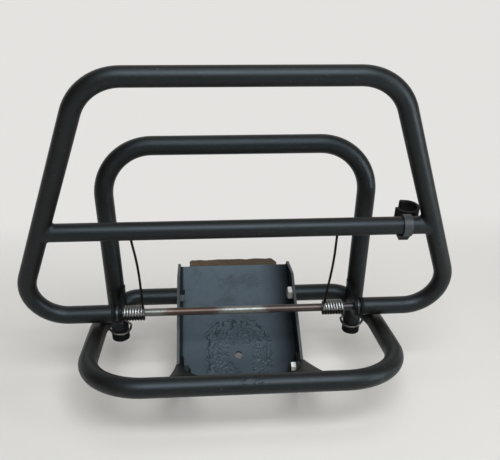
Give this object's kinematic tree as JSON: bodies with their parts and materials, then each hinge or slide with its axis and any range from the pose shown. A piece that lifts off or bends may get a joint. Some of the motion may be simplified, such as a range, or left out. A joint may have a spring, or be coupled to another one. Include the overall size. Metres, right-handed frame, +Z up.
{
  "type": "folding scooter luggage rack",
  "caption": "Folding tubular tail rack: a sprung carrier hoop hinged on a rod ahead of a backrest hoop, over a base ring with a sloped channel mounting plate.",
  "frame": {"origin": "centre of the mounting hole, on the underside of the sloped plate", "axes": "+X along the hinge rod, to the right seen from the carrier's side; +Y toward the backrest; +Z up, square to the level base ring"},
  "size_m": [0.4322, 0.2464, 0.329],
  "materials": {
    "black_paint": "satin",
    "plate_paint": "satin",
    "rubber": "matte",
    "pad_plastic": "matte",
    "zinc": "satin",
    "rod_steel": "satin",
    "spring_wire": "satin",
    "bush_plastic": "satin",
    "clip_plastic": "satin"
  },
  "bodies": {
    "frame": {"base_ring": "black_paint", "backrest_hoop": "black_paint", "foot_stub_left": "black_paint", "foot_stub_right": "black_paint", "end_plugs": "rubber", "hinge_ear_left": "black_paint", "hinge_ear_right": "black_paint", "mounting_plate": "plate_paint", "plate_pad": "pad_plastic", "gusset_left": "plate_paint", "gusset_right": "plate_paint", "tube_bungs": "zinc", "rear_bolts": "zinc", "front_bolts": "zinc", "front_nuts": "zinc", "hinge_rod": "rod_steel", "hinge_collars": "black_paint", "spring_left": "spring_wire", "spring_right": "spring_wire"},
    "carrier": {"carrier_hoop": "black_paint", "cross_tube": "black_paint", "carrier_bushes": "bush_plastic", "tube_clip": "clip_plastic"}
  },
  "joints": [
    {"name": "carrier_fold", "type": "hinge", "parent": "frame", "child": "carrier", "pos_m": [0, -0.015, 0.061], "axis": [1, 0, 0], "range_deg": [-18.5, 75], "stiffness_Nm_per_rad": 1.5, "springref_deg": -11.46, "deforming": ["spring_left", "spring_right"]}
  ]
}
